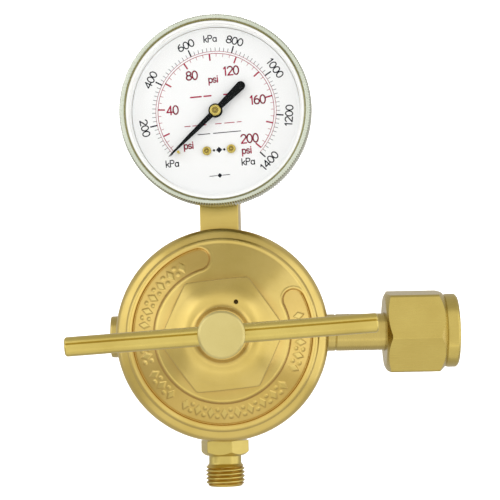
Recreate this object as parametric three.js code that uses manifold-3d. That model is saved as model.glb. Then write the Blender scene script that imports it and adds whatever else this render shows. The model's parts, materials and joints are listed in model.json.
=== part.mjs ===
// Single-stage gas regulator with one pressure gauge, built from its separate pieces.
// Millimetres. The adjusting screw lies along Y with its front towards -Y, the gauge stands on +Z,
// the outlet points to -Z, and the inlet to +X. The part's origin is the centre of the inlet nut's mouth.
import * as THREE from "three";
import { mergeVertices } from "three/addons/utils/BufferGeometryUtils.js";
import Module from "manifold-3d";

const wasm = await Module();
wasm.setup();

// ---- driving dimensions ----
const ROUND = 36; // facets round a large turned piece
const MEDIUM = 24;
const SMALL = 12;
const GAP = 0.3; // clearance kept between pieces that touch on the real object

const INLET = { mouth: 87, nutBack: 60, hexEnd: 82.3, hexFlats: 28.6, noseR: 13.65, socketR: 10.7 };
const NIPPLE = { r: 6.85, boreR: 2.6, start: 24.3, collar: 70.5, collarEnd: 74, collarR: 9.5, tip: 84 };
const OUTLET = { hexTop: -38.8, hexEnd: -44.4, undercutEnd: -47.9, end: -55.8, flats: 15.9, threadR: 7.15, boreR: 3.6 };
const FLANGE = { r: 34.2, front: -12, back: -6.5 };
const HUB = { r: 23, back: 22 };
const CHAMBER = { r: 26, floor: -8.5 };
const SEAT = { recessR: 6.2, recessEnd: -5, cavityR: 5, cavityEnd: 14 };
const BOSS = { bigR: 10.5, smallR: 7.7, reach: 34.2, boreR: 6.9, boreStart: 24 };
const SKIRT = { r: 38.5, innerR: 34.6, back: -8, shoulder: -14.6 };
const BONNET = { rimR: 34.1, rimY: -22.6, hexFlats: 38.1, hexBack: -32, hexFront: -43.4, front: -55, hubR: 8.6 };
const BELL = { wideR: 27.2, wideY: -17, r: 14.6, y: -36, top: -44 };
const PANEL = { outerR: 32.2, innerR: 23.9, depth: 1, gapStart: 34, gapEnd: 104 };
const SCREW = { r: 6.3, tip: -44.3, headBack: -71, headFront: -85, headR: 7.7 };
const BAR = { r: 3.2, length: 101.6, y: -78, tilt: 3.35 };
const SPRING = { meanR: 12, wire: 3, turns: 4.25, front: -40.7, back: -15.7 };
const TRAIN = { plateR: 15, plateFront: -15.4, plateBack: -13.4, stemR: 3 };
const GAUGE = { z: 82, yaw: -4.5, caseR: 33, wall: 1.5, caseFront: -13.2, caseBack: 11, openingR: 32.6, bezelR: 35.3 };
const LENS = { r: 31.8, front: -16.9, back: -15.5, seatR: 33, ledgeR: 31.2 };
const SOCKET = { half: 7.15, bottom: 34.6, top: 58, stubR: 6.6, stubBottom: 24.3 };
const DIAL = { r: 31, front: -11.6, back: -11, turn: 3.6 };
const POINTER = { rest: 219.75, sweep: 267.5, tip: 24.1, tail: 14.6, front: -13.9, back: -13.4, hubR: 2.6 };
const MOVEMENT = { front: -4.4, back: 4.4, plate: 1, pivotV: -15.75 };
const GEAR = { module: 0.35, pinionTeeth: 10, sectorTeeth: 80, half: 0.6 };
const DIAL_SCREWS = [[-4.5, -14.3], [4.5, -14.3]];
const TUBE = { meanR: 22, halfThick: 1.4, halfWide: 4, y: 1.5, root: 252, tip: -35 };

// ---- materials, one per node ----
const FINISHES = {
  brass_cast: { color: 0xb99f55, metalness: 0.9, roughness: 0.42 },
  brass: { color: 0xc8ab5c, metalness: 0.95, roughness: 0.28 },
  steel: { color: 0x9b9ca0, metalness: 0.9, roughness: 0.35 },
  spring_steel: { color: 0x6f7176, metalness: 0.9, roughness: 0.4 },
  black_paint: { color: 0x101114, metalness: 0, roughness: 0.5 },
  dial_white: { color: 0xf2f2ee, metalness: 0, roughness: 0.6 },
  lens_clear: { color: 0xf6f9fa, metalness: 0, roughness: 0.05 },
  rubber: { color: 0x1b1b1c, metalness: 0, roughness: 0.8 },
  seat_plastic: { color: 0xe8e4d8, metalness: 0, roughness: 0.5 },
};

// ---- helpers ----
const rad = THREE.MathUtils.degToRad;

function turned(profile, facets) {
  return new THREE.LatheGeometry(profile.map(([r, a]) => new THREE.Vector2(r, a)), facets);
}

// A ring with a rectangular section: inner and outer radius, low and high end along its axis.
function ringProfile(inner, outer, low, high) {
  return [[inner, low], [outer, low], [outer, high], [inner, high], [inner, low]];
}

function rodProfile(r, low, high) {
  return [[0, low], [r, low], [r, high], [0, high]];
}

// A rod with a chamfer at each end.
function chamferedRod(r, low, high, cut) {
  return [[0, low], [r - cut, low], [r, low + cut], [r, high - cut], [r - cut, high], [0, high]];
}

const alongX = (geometry) => geometry.rotateZ(-Math.PI / 2);
const alongZ = (geometry) => geometry.rotateX(Math.PI / 2);

// An outline drawn as seen from the front (x right, y up) made solid between two depths along Y.
function plateAlongY(shape, front, back, curveSegments = 8) {
  const settings = { depth: back - front, bevelEnabled: false, curveSegments };
  return new THREE.ExtrudeGeometry(shape, settings).rotateX(Math.PI / 2).translate(0, back, 0);
}

function polygonShape(points) {
  return new THREE.Shape(points.map(([x, y]) => new THREE.Vector2(x, y)));
}

function hexShape(acrossFlats, cornerDegrees) {
  const corner = acrossFlats / Math.sqrt(3);
  const points = [];
  for (let k = 0; k < 6; k += 1) {
    const a = rad(cornerDegrees + 60 * k);
    points.push([corner * Math.cos(a), corner * Math.sin(a)]);
  }
  return polygonShape(points);
}

function prism(shape, depth) {
  return new THREE.ExtrudeGeometry(shape, { depth, bevelEnabled: false });
}

// Joins and cuts run on watertight solids.
function solid(geometry) {
  const bare = geometry.index ? geometry.toNonIndexed() : geometry.clone();
  bare.deleteAttribute("normal");
  bare.deleteAttribute("uv");
  const merged = mergeVertices(bare, 1e-4);
  return new wasm.Manifold(new wasm.Mesh({
    numProp: 3,
    vertProperties: new Float32Array(merged.attributes.position.array),
    triVerts: new Uint32Array(merged.index.array),
  }));
}

function fromSolid(manifold) {
  const data = manifold.getMesh();
  const geometry = new THREE.BufferGeometry();
  geometry.setAttribute("position", new THREE.BufferAttribute(data.vertProperties, 3));
  geometry.setIndex(new THREE.BufferAttribute(data.triVerts, 1));
  return geometry;
}

const join = (first, ...rest) => rest.reduce((sum, next) => sum.add(solid(next)), solid(first));
const cut = (whole, ...tools) => tools.reduce((left, tool) => left.subtract(solid(tool)), whole);

const regulator = new THREE.Group();
regulator.name = "gas_regulator";

function place(name, shape, finish, moved = (geometry) => geometry) {
  const raw = shape.isBufferGeometry ? shape : fromSolid(shape);
  const flat = moved(raw.index ? raw.toNonIndexed() : raw);
  flat.translate(-INLET.mouth, 0, 0);
  flat.computeVertexNormals();
  const mesh = new THREE.Mesh(flat, new THREE.MeshStandardMaterial(FINISHES[finish]));
  mesh.name = name;
  regulator.add(mesh);
}

// ---- body ----
function bodyBlank() {
  return turned([
    [0, SEAT.cavityEnd], [SEAT.cavityR, SEAT.cavityEnd], [SEAT.cavityR, SEAT.recessEnd],
    [SEAT.recessR, SEAT.recessEnd], [SEAT.recessR, CHAMBER.floor], [CHAMBER.r, CHAMBER.floor],
    [CHAMBER.r + 1, FLANGE.front], [FLANGE.r, FLANGE.front], [FLANGE.r, FLANGE.back],
    [31, -4.5], [HUB.r + 1, 0], [HUB.r, 2], [HUB.r, HUB.back - 2.5], [HUB.r - 2.5, HUB.back], [0, HUB.back],
  ], ROUND);
}

function buildBody() {
  const inletBoss = alongX(turned(chamferedRod(BOSS.bigR, 16, BOSS.reach, 1), MEDIUM));
  const plugBoss = alongX(turned(chamferedRod(BOSS.smallR, -BOSS.reach, -16, 0.6), MEDIUM));
  const gaugeBoss = alongZ(turned(chamferedRod(BOSS.bigR, 16, BOSS.reach, 1), MEDIUM));
  const outletBoss = alongZ(turned(chamferedRod(BOSS.bigR, -BOSS.reach, -16, 1), MEDIUM));
  const shell = join(bodyBlank(), inletBoss, plugBoss, gaugeBoss, outletBoss);
  const start = BOSS.boreStart;
  const end = BOSS.reach + 1;
  const threads = [
    alongX(turned(rodProfile(BOSS.boreR, start, end), SMALL)),
    alongZ(turned(rodProfile(BOSS.boreR, start, end), SMALL)),
    alongZ(turned(rodProfile(BOSS.boreR, -end, -start), SMALL)),
    alongX(turned(rodProfile(5.2, -end, -start), SMALL)),
  ];
  const passages = [
    alongX(turned(rodProfile(2.6, SEAT.cavityR - 2, start + 1), 12)),
    alongZ(turned(rodProfile(2.6, 13, start + 1), 12)),
    alongZ(turned(rodProfile(2.6, -start - 1, -13), 12)),
    turned(rodProfile(2, CHAMBER.floor - 1, 1), 12).translate(0, 0, 15),
    turned(rodProfile(2, CHAMBER.floor - 1, 1), 12).translate(0, 0, -15),
  ];
  place("body", cut(shell, ...threads, ...passages), "brass_cast");
}

// ---- bonnet: skirt, cone with a recessed panel, hexagon, dome and screw boss ----
function bonnetCone() {
  return turned([
    [SCREW.r + 0.25, BONNET.front], [BONNET.hubR - 0.4, BONNET.front], [BONNET.hubR, BONNET.front + 0.4],
    [9.2, -52], [11.2, -49.4], [14.5, -47.6], [17.2, -45.4], [18.6, -43], [18.6, BONNET.hexBack - 1],
    [22.6, BONNET.hexBack], [23.6, BONNET.hexBack + 0.3], [32.6, BONNET.rimY - 1.2],
    [33.4, BONNET.rimY - 0.9], [BONNET.rimR, BONNET.rimY], [36.6, -21.4], [38, -19.4], [SKIRT.r, -17],
    [SKIRT.r, SKIRT.back - 0.6], [SKIRT.r - 0.6, SKIRT.back], [SKIRT.innerR, SKIRT.back],
    [SKIRT.innerR, SKIRT.shoulder], [BELL.wideR, SKIRT.shoulder], [BELL.wideR, BELL.wideY],
    [BELL.r, BELL.y], [BELL.r, BELL.top], [SCREW.r + 0.25, BELL.top], [SCREW.r + 0.25, BONNET.front],
  ], 44);
}

function bonnetHex() {
  const block = solid(plateAlongY(hexShape(BONNET.hexFlats, 5.15), BONNET.hexFront - 1.6, BONNET.hexBack + 1));
  const dome = turned([
    [16, BONNET.hexFront - 1.6], [19, BONNET.hexFront - 0.9], [21.6, BONNET.hexFront + 1.2],
    [22.4, BONNET.hexFront + 3], [22.4, BONNET.hexBack + 1], [16, BONNET.hexBack + 1],
    [16, BONNET.hexFront - 1.6],
  ], 36);
  return block.intersect(solid(dome));
}

// The recess follows the cone, and stops short of the part of the ring at the upper right.
function panelCutter() {
  const run = (PANEL.outerR - PANEL.innerR);
  const rise = 9.3;
  const slope = rise / (32.6 - 23.6);
  const outerY = BONNET.rimY - 1.2 - slope * (32.6 - PANEL.outerR);
  const innerY = outerY - slope * run;
  const ring = solid(turned([
    [PANEL.innerR, innerY - 4], [PANEL.outerR, outerY - 4], [PANEL.outerR, outerY + PANEL.depth],
    [PANEL.innerR, innerY + PANEL.depth], [PANEL.innerR, innerY - 4],
  ], 44));
  const reach = 60;
  const wedge = [[0, 0]];
  for (let k = 0; k <= 4; k += 1) {
    const a = rad(PANEL.gapStart + (PANEL.gapEnd - PANEL.gapStart) * k / 4);
    wedge.push([reach * Math.cos(a), reach * Math.sin(a)]);
  }
  return ring.subtract(solid(plateAlongY(polygonShape(wedge), -60, 0)));
}

function buildBonnet() {
  const ventAngle = rad(65.6);
  const vent = turned(rodProfile(0.9, -56, -40), 12);
  vent.translate(12 * Math.cos(ventAngle), 0, 12 * Math.sin(ventAngle));
  const shape = solid(bonnetCone()).add(bonnetHex()).subtract(panelCutter()).subtract(solid(vent));
  place("bonnet", shape, "brass_cast");
}

// ---- adjusting screw, T-bar, spring button and main spring ----
function barAlong(geometry) {
  return alongX(geometry).rotateY(-rad(BAR.tilt)).translate(0, BAR.y, 0);
}

function buildScrew() {
  const head = turned(chamferedRod(SCREW.headR, SCREW.headFront, SCREW.headBack, 0.7), MEDIUM);
  const shank = turned([
    [0, SCREW.headBack - 1], [SCREW.r, SCREW.headBack - 1], [SCREW.r, SCREW.tip - 2.2],
    [SCREW.r - 2.2, SCREW.tip], [0, SCREW.tip],
  ], MEDIUM);
  const hole = barAlong(turned(rodProfile(BAR.r + 0.2, -12, 12), SMALL));
  place("adjusting_screw", cut(join(head, shank), hole), "brass");
}

function buildBar() {
  const half = BAR.length / 2;
  const rod = turned(chamferedRod(BAR.r, -half, half, 0.6), SMALL);
  const slit = new THREE.BoxGeometry(0.7, BAR.length + 2, 1.6);
  slit.translate(0, 0, BAR.r).rotateY(rad(109.5));
  const grooved = cut(solid(rod), slit);
  place("t_bar", barAlong(fromSolid(grooved)), "steel");
}

function buildButton() {
  const button = turned([
    [0, -42.6], [3, -43.7], [12.6, -43.7], [13.4, -42.9], [13.4, -41], [9.9, -41], [9.9, -38], [9, -37],
    [0, -37],
  ], MEDIUM);
  place("spring_button", button, "steel");
}

// A coil of round wire about the Y axis, with flattened pitch in the end turns.
function coil(meanR, wire, turns, front, back, steps, sides) {
  const low = front + wire / 2;
  const high = back - wire / 2;
  const points = [];
  const count = Math.round(turns * steps);
  const deadTurns = 0.75;
  for (let i = 0; i <= count; i += 1) {
    const t = turns * i / count;
    const wound = THREE.MathUtils.clamp(t, deadTurns, turns - deadTurns) - deadTurns;
    const dead = Math.min(t, deadTurns) + Math.max(t - (turns - deadTurns), 0);
    const active = high - low - 2 * deadTurns * wire * 1.06;
    const y = low + dead * wire * 1.06 + active * wound / (turns - 2 * deadTurns);
    points.push(new THREE.Vector3(meanR * Math.cos(2 * Math.PI * t), y, meanR * Math.sin(2 * Math.PI * t)));
  }
  const section = new THREE.Shape();
  section.absarc(0, 0, wire / 2, 0, 2 * Math.PI);
  const settings = { steps: count, curveSegments: sides, extrudePath: new THREE.CatmullRomCurve3(points) };
  return new THREE.ExtrudeGeometry(section, settings);
}

function buildMainSpring() {
  const spring = coil(SPRING.meanR, SPRING.wire, SPRING.turns, SPRING.front, SPRING.back, 14, 3);
  place("main_spring", spring, "spring_steel");
}

// ---- diaphragm, its plate and clamping ring ----
function buildDiaphragm() {
  const edge = 32;
  const front = -13.1;
  const back = -12.3;
  place("diaphragm", turned([
    [TRAIN.stemR + GAP, front], [17, front], [20, front + 0.3], [23, front + 0.3], [26, front],
    [edge, front], [edge, back], [26, back], [23, back + 0.3], [20, back + 0.3], [17, back],
    [TRAIN.stemR + GAP, back], [TRAIN.stemR + GAP, front],
  ], MEDIUM), "rubber");
  place("slip_ring", turned(ringProfile(27.6, edge, -14.3, -13.4), MEDIUM), "brass");
  place("diaphragm_plate", turned([
    [0, TRAIN.plateFront], [TRAIN.plateR - 0.5, TRAIN.plateFront], [TRAIN.plateR, TRAIN.plateFront + 0.5],
    [TRAIN.plateR, TRAIN.plateBack], [TRAIN.stemR, TRAIN.plateBack], [TRAIN.stemR, -12.3], [0, -12.3],
  ], MEDIUM), "steel");
}

// ---- nozzle, seat and poppet ----
function buildValve() {
  const nozzleBody = solid(turned([
    [1.7, -9.2], [5.9, -9.2], [5.9, -5.8], [5.3, -5.2], [1.7, -5.2], [1.7, -9.2],
  ], MEDIUM));
  const nozzleHex = cut(solid(plateAlongY(hexShape(14.5, 0), -10.2, -8.8)), turned(rodProfile(1.7, -11, -8), SMALL));
  place("nozzle", nozzleBody.add(nozzleHex), "brass");
  place("valve_seat", turned(ringProfile(1.9, 3.6, -4.9, -3.3), SMALL), "seat_plastic");
  place("poppet", turned([
    [0, -12], [1.2, -12], [1.2, -3.6], [1.6, -3], [3.6, -1.4], [3.6, 4], [1.5, 4], [1.5, 9], [0, 9],
  ], SMALL), "steel");
  place("poppet_spring", coil(2.9, 0.6, 5, 4.3, 13.7, 8, 2), "spring_steel");
}

// ---- inlet: nipple, filter and swivel nut ----
function buildInlet() {
  const n = NIPPLE;
  const nipple = turned([
    [n.boreR, n.start], [BOSS.boreR - GAP, n.start], [BOSS.boreR - GAP, BOSS.reach + GAP],
    [n.r, BOSS.reach + GAP], [n.r, n.collar], [n.collarR, n.collar], [n.collarR, n.collarEnd],
    [8.2, n.collarEnd + 0.4], [7.8, 77], [6.6, 80.4], [4.4, 83.2], [3.6, n.tip], [n.boreR, n.tip],
    [n.boreR, n.start],
  ], MEDIUM);
  place("inlet_nipple", alongX(nipple), "brass");
  place("inlet_filter", alongX(turned(chamferedRod(n.boreR - GAP, 75, 82.5, 0.4), SMALL)), "brass");
}

function buildNut() {
  const depth = INLET.hexEnd - INLET.nutBack;
  const hex = solid(prism(hexShape(INLET.hexFlats, 30 + 7.4), depth).rotateY(Math.PI / 2).translate(INLET.nutBack, 0, 0));
  const barrel = solid(alongX(turned([
    [0, INLET.nutBack], [12.6, INLET.nutBack], [14.6, INLET.nutBack + 0.9], [16.6, INLET.nutBack + 2.4],
    [16.6, INLET.hexEnd - 1.2], [14.8, INLET.hexEnd], [0, INLET.hexEnd],
  ], 36)));
  const nose = alongX(turned([
    [0, INLET.hexEnd - 1], [INLET.noseR, INLET.hexEnd - 1], [INLET.noseR, INLET.mouth - 0.8],
    [INLET.noseR - 0.8, INLET.mouth], [0, INLET.mouth],
  ], 36));
  const rearHole = alongX(turned(rodProfile(NIPPLE.r + GAP, INLET.nutBack - 1, INLET.mouth), MEDIUM));
  const thread = alongX(turned(rodProfile(INLET.socketR, 70.1, INLET.mouth + 1), MEDIUM));
  const lead = alongX(turned([
    [0, INLET.mouth - 0.8], [INLET.socketR - 0.01, INLET.mouth - 0.8], [INLET.socketR + 0.9, INLET.mouth + 0.1],
    [0, INLET.mouth + 0.1],
  ], MEDIUM));
  place("inlet_nut", cut(hex.intersect(barrel).add(solid(nose)), rearHole, thread, lead), "brass");
}

// ---- outlet fitting and side plug ----
function buildOutlet() {
  const o = OUTLET;
  const hex = solid(prism(hexShape(o.flats, -14), o.hexTop - o.hexEnd).translate(0, 0, o.hexEnd));
  const barrel = solid(alongZ(turned([
    [0, o.hexEnd], [7.9, o.hexEnd], [9.3, o.hexEnd + 1], [9.3, o.hexTop - 0.6], [8.4, o.hexTop], [0, o.hexTop],
  ], MEDIUM)));
  const stem = alongZ(turned([
    [0, o.end], [o.threadR - 0.9, o.end], [o.threadR, o.end + 0.9], [o.threadR, o.undercutEnd],
    [6, o.undercutEnd + 0.4], [6, o.hexEnd + 1], [6.6, o.hexTop - 1], [6.6, -BOSS.boreStart - GAP],
    [0, -BOSS.boreStart - GAP],
  ], MEDIUM));
  const bore = alongZ(turned([
    [0, o.end - 1], [o.boreR + 1.6, o.end - 1], [o.boreR + 1.6, o.end], [o.boreR, o.end + 2.6],
    [o.boreR, -20], [0, -20],
  ], SMALL));
  place("outlet_fitting", cut(hex.intersect(barrel).add(solid(stem)), bore), "brass");
}

function buildPlug() {
  const face = -41.4;
  const plug = alongX(turned([
    [0, face], [BOSS.smallR - 0.9, face], [BOSS.smallR, face + 0.9], [BOSS.smallR, -BOSS.reach - GAP],
    [4.9, -BOSS.reach - GAP], [4.9, -28], [0, -28],
  ], MEDIUM));
  const keyHole = prism(hexShape(6.4, 0), 5).rotateY(Math.PI / 2).translate(face - 1, 0, 0);
  place("port_plug", cut(solid(plug), keyHole), "brass");
}

// ---- gauge shell ----
// The gauge is screwed home a few degrees short of facing straight ahead.
const gaugeYaw = (geometry) => geometry.rotateZ(rad(GAUGE.yaw));
const inGauge = (name, shape, finish) => (
  place(name, shape, finish, (geometry) => gaugeYaw(geometry.translate(0, 0, GAUGE.z)))
);

function buildSocket() {
  const s = SOCKET;
  const size = 2 * s.half;
  const square = new THREE.BoxGeometry(size, size, 50 - s.bottom).translate(0, 0, (50 + s.bottom) / 2);
  const block = new THREE.BoxGeometry(size, 8, s.top - 49).translate(0, -1, (s.top + 49) / 2);
  const stub = alongZ(turned(rodProfile(s.stubR, s.stubBottom, s.bottom + 1), MEDIUM));
  const lug = new THREE.Shape();
  lug.absarc(0, 0, 26, rad(TUBE.root + 0.8), rad(262), false);
  lug.absarc(0, 0, 19.6, rad(262), rad(TUBE.root + 0.8), true);
  const lugBlock = plateAlongY(lug, -3, 3, 4).translate(0, 0, GAUGE.z);
  const bore = alongZ(turned(rodProfile(1.5, s.stubBottom - 1, 54), 12));
  place("gauge_socket", cut(join(square, block, stub, lugBlock), bore), "brass", gaugeYaw);
}

function buildCase() {
  const g = GAUGE;
  const inner = g.caseR - g.wall;
  const cup = turned([
    [0, g.caseBack - 1.2], [inner, g.caseBack - 1.2], [inner, g.caseFront], [g.caseR, g.caseFront],
    [g.caseR, g.caseBack - 2], [g.caseR - 2, g.caseBack], [0, g.caseBack],
  ], ROUND);
  const half = SOCKET.half + GAP;
  const stemHole = new THREE.BoxGeometry(2 * half, 2 * half, 8).translate(0, 0, -g.caseR);
  const plugHole = turned(rodProfile(5.3, g.caseBack - 3, g.caseBack + 1), SMALL).translate(0, 0, 16);
  inGauge("gauge_case", cut(solid(cup), stemHole, plugHole), "brass_cast");
  inGauge("blow_out_plug", turned([
    [0, 8.6], [6.4, 8.6], [6.4, 9.5], [5, 9.5], [5, 11.4], [0, 11.4],
  ], SMALL).translate(0, 0, 16), "rubber");
}

function buildBezel() {
  const g = GAUGE;
  inGauge("gauge_bezel", turned([
    [g.openingR, -17.5], [g.openingR + 0.6, -18], [g.openingR + 1.4, -18.2], [g.bezelR - 0.5, -17.4],
    [g.bezelR, -16.4], [g.bezelR, -8.6], [g.bezelR - 0.6, -8], [g.caseR + 0.35, -8],
    [g.caseR + 0.35, -17.1], [g.openingR, -17.1], [g.openingR, -17.5],
  ], 48), "brass");
  inGauge("lens", turned(rodProfile(LENS.r, LENS.front, LENS.back), ROUND), "lens_clear");
  const holder = LENS.r + 0.1;
  const ledge = LENS.back + 0.1;
  inGauge("lens_gasket", turned([
    [LENS.ledgeR, ledge], [holder, ledge], [holder, LENS.front], [LENS.seatR, LENS.front], [LENS.seatR, -13.5],
    [LENS.ledgeR, -13.5], [LENS.ledgeR, ledge],
  ], ROUND), "seat_plastic");
}

// ---- dial, its screws and the stop pin ----
const dialTurn = (geometry) => geometry.rotateY(-rad(DIAL.turn));

function buildDial() {
  const stop = [-14.8, -14];
  const screws = DIAL_SCREWS;
  const disc = solid(turned(rodProfile(DIAL.r, DIAL.front, DIAL.back), ROUND));
  const holeAt = ([x, z], r) => turned(rodProfile(r, DIAL.front - 1, DIAL.back + 1), 12).translate(x, 0, z);
  const holes = [holeAt([0, 0], 1.6), holeAt(stop, 0.75), ...screws.map((at) => holeAt(at, 1))];
  inGauge("dial", dialTurn(fromSolid(cut(disc, ...holes))), "dial_white");
  screws.forEach(([x, z], k) => {
    const screw = turned([
      [0, -12.8], [1.3, -12.8], [1.65, -12.4], [1.65, -11.9], [0.8, -11.9], [0.8, -4.8], [0, -4.8],
    ], SMALL).translate(x, 0, z);
    inGauge(`dial_screw_${k + 1}`, dialTurn(screw), "brass");
  });
  const pin = turned(chamferedRod(0.5, -14.8, -9.6, 0.15), 12).translate(stop[0], 0, stop[1]);
  inGauge("stop_pin", dialTurn(pin), "brass");
}

// ---- pointer and its arbor ----
function pointerShape() {
  const p = POINTER;
  const shape = new THREE.Shape();
  shape.moveTo(p.tip, 0);
  shape.lineTo(p.tip - 3, 0.35);
  shape.lineTo(2.4, 1);
  shape.absarc(0, 0, p.hubR, rad(23), rad(155), false);
  shape.lineTo(-p.tail + 1.65, 1.65);
  shape.absarc(-p.tail + 1.65, 0, 1.65, rad(90), rad(270), false);
  shape.lineTo(-2.36, -1.1);
  shape.absarc(0, 0, p.hubR, rad(205), rad(337), false);
  shape.lineTo(p.tip - 3, -0.35);
  shape.closePath();
  const hole = new THREE.Path();
  hole.absarc(0, 0, 1, 0, 2 * Math.PI, true);
  shape.holes.push(hole);
  return shape;
}

function buildPointer() {
  const p = POINTER;
  const blade = plateAlongY(pointerShape(), p.front, p.back, 6).rotateY(-rad(p.rest + DIAL.turn));
  inGauge("pointer", blade, "black_paint");
  inGauge("pointer_hub", turned([
    [0, -15.2], [1.5, -15.2], [2.05, -14.8], [2.05, -14.2], [0, -14.2],
  ], SMALL), "brass");
}

// ---- gauge movement ----
function toothPoints(teeth, pitchR, k, count) {
  const m = GEAR.module;
  const step = 2 * Math.PI / teeth;
  const a = (k - (count - 1) / 2) * step;
  const at = (r, halfWidth, side) => [r, a + side * Math.asin(halfWidth / r)];
  const root = pitchR - 1.2 * m;
  const tip = pitchR + 0.8 * m;
  return [at(root, 0.25, -1), at(tip, 0.09, -1), at(tip, 0.09, 1), at(root, 0.25, 1)];
}

// At rest the pinion stands half its sweep back from the position where a tooth faces the sector's middle gap.
function buildPinion() {
  const pitchR = GEAR.module * GEAR.pinionTeeth / 2;
  const phase = rad(POINTER.sweep / 2 - 90);
  const outline = [];
  for (let k = 0; k < GEAR.pinionTeeth; k += 1) {
    for (const [r, a] of toothPoints(GEAR.pinionTeeth, pitchR, k, 1)) {
      outline.push([r * Math.cos(a + phase), r * Math.sin(a + phase)]);
    }
  }
  const gear = plateAlongY(polygonShape(outline), -GEAR.half - 0.4, GEAR.half + 0.4);
  const arbor = turned([[0, -14.1], [0.75, -14.1], [0.75, 4.2], [0, 4.2]], 12);
  inGauge("pinion_arbor", join(gear, arbor), "steel");
}

function sectorOutline() {
  const pitchR = GEAR.module * GEAR.sectorTeeth / 2;
  const count = 10;
  const outline = [];
  for (let k = 0; k < count; k += 1) {
    for (const [r, a] of toothPoints(GEAR.sectorTeeth, pitchR, k, count)) {
      outline.push([r * Math.cos(a), r * Math.sin(a)]);
    }
  }
  return outline;
}

// The sector's middle tooth gap faces the pinion halfway through the sweep.
function buildSector() {
  const swing = POINTER.sweep * GEAR.pinionTeeth / GEAR.sectorTeeth;
  const restTurn = 90 - swing / 2;
  const fan = sectorOutline();
  const hub = 2.2;
  const outline = [[hub * 0.9, -1.4], ...fan, [hub * 0.9, 1.4], [-1, 1.6], [-2, 0], [-1, -1.6]];
  const fanPlate = plateAlongY(polygonShape(outline), -GEAR.half, GEAR.half).rotateY(-rad(restTurn));
  const tailAngle = -68 - swing / 2;
  const tail = plateAlongY(polygonShape([[0, -1], [5.6, -1], [6.2, 0], [5.6, 1], [0, 1]]), -GEAR.half, GEAR.half);
  tail.rotateY(-rad(tailAngle));
  const arborHole = turned(rodProfile(0.9, -2, 2), 12);
  const pinHole = turned(rodProfile(0.6, -2, 2), 12);
  pinHole.translate(5 * Math.cos(rad(tailAngle)), 0, 5 * Math.sin(rad(tailAngle)));
  const sector = fromSolid(cut(join(fanPlate, tail), arborHole, pinHole));
  inGauge("sector_gear", sector.translate(0, 0, MOVEMENT.pivotV), "brass");
  const arbor = turned([[0, -4.2], [0.75, -4.2], [0.75, 4.2], [0, 4.2]], 12);
  inGauge("sector_arbor", arbor.translate(0, 0, MOVEMENT.pivotV), "steel");
}

function tailPin() {
  const swing = POINTER.sweep * GEAR.pinionTeeth / GEAR.sectorTeeth;
  const a = rad(-68 - swing / 2);
  return [5 * Math.cos(a), MOVEMENT.pivotV + 5 * Math.sin(a)];
}

function tubeTip() {
  return [TUBE.meanR * Math.cos(rad(TUBE.tip)), TUBE.meanR * Math.sin(rad(TUBE.tip))];
}

function buildLink() {
  const [px, pz] = tailPin();
  const [tx, tz] = tubeTip();
  const length = Math.hypot(tx - px, tz - pz);
  const bar = new THREE.Shape();
  bar.absarc(0, 0, 1.1, rad(90), rad(270), false);
  bar.absarc(length, 0, 1.1, rad(-90), rad(90), false);
  const tipHole = new THREE.Path();
  tipHole.absarc(length, 0, 0.7, 0, 2 * Math.PI, true);
  bar.holes.push(tipHole);
  const plate = plateAlongY(bar, 1, 1.6, 5).rotateY(-Math.atan2(tz - pz, tx - px));
  const pin = turned(rodProfile(0.45, -1, 1.2), 10);
  inGauge("link", fromSolid(join(plate, pin)).translate(px, 0, pz), "brass");
}

function buildTube() {
  const points = [];
  const count = 26;
  for (let i = 0; i <= count; i += 1) {
    const a = rad(TUBE.root + (TUBE.tip - TUBE.root) * i / count);
    points.push(new THREE.Vector3(TUBE.meanR * Math.cos(a), TUBE.y, TUBE.meanR * Math.sin(a)));
  }
  const section = new THREE.Shape();
  section.absellipse(0, 0, TUBE.halfWide, TUBE.halfThick, 0, 2 * Math.PI);
  const path = new THREE.CatmullRomCurve3(points);
  const tube = new THREE.ExtrudeGeometry(section, { steps: count, curveSegments: 4, extrudePath: path });
  const [tx, tz] = tubeTip();
  const tab = new THREE.BoxGeometry(3.6, 5.2, 3).translate(tx, 4.8, tz);
  const pin = turned(rodProfile(0.45, 0.6, 3), 10).translate(tx, 0, tz);
  const clear = new THREE.BoxGeometry(5, 1.6, 5).translate(tx - 1, 1.3, tz - 0.4);
  const tip = solid(tube).subtract(solid(clear)).add(solid(tab)).add(solid(pin));
  inGauge("bourdon_tube", tip, "brass");
}

function buildPlates() {
  const m = MOVEMENT;
  const outline = (bottom) => {
    const shape = new THREE.Shape();
    shape.absarc(0, 5.5, 4.5, 0, Math.PI, false);
    shape.lineTo(-6.5, -6);
    shape.lineTo(-9, -15.5);
    shape.lineTo(-7, -18.6);
    shape.lineTo(-3.5, -19.6);
    shape.lineTo(-2.5, bottom);
    shape.lineTo(5, bottom);
    shape.lineTo(7, -19.4);
    shape.lineTo(6.5, -6);
    shape.closePath();
    return shape;
  };
  const pierce = (plate, low, high, fixings) => cut(
    solid(plate),
    turned(rodProfile(0.9, low - 1, high + 1), 12),
    turned(rodProfile(0.9, low - 1, high + 1), 12).translate(0, 0, m.pivotV),
    ...fixings,
  );
  const frontEnd = m.front + m.plate;
  const backStart = m.back - m.plate;
  const dialFixings = DIAL_SCREWS.map(([x, z]) => (
    dialTurn(turned(rodProfile(1, m.front - 1, frontEnd + 1), 12).translate(x, 0, z))
  ));
  const front = plateAlongY(outline(-22), m.front, frontEnd, 6);
  const back = plateAlongY(outline(-29), backStart, m.back, 6);
  inGauge("movement_plate_front", pierce(front, m.front, frontEnd, dialFixings), "brass");
  inGauge("movement_plate_back", pierce(back, backStart, m.back, []), "brass");
  [[-7, -17], [0, 7]].forEach(([x, z], k) => {
    const pillar = turned(chamferedRod(1.2, frontEnd + 0.1, backStart - 0.1, 0.2), 12).translate(x, 0, z);
    inGauge(`movement_pillar_${k + 1}`, pillar, "brass");
  });
}

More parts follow.
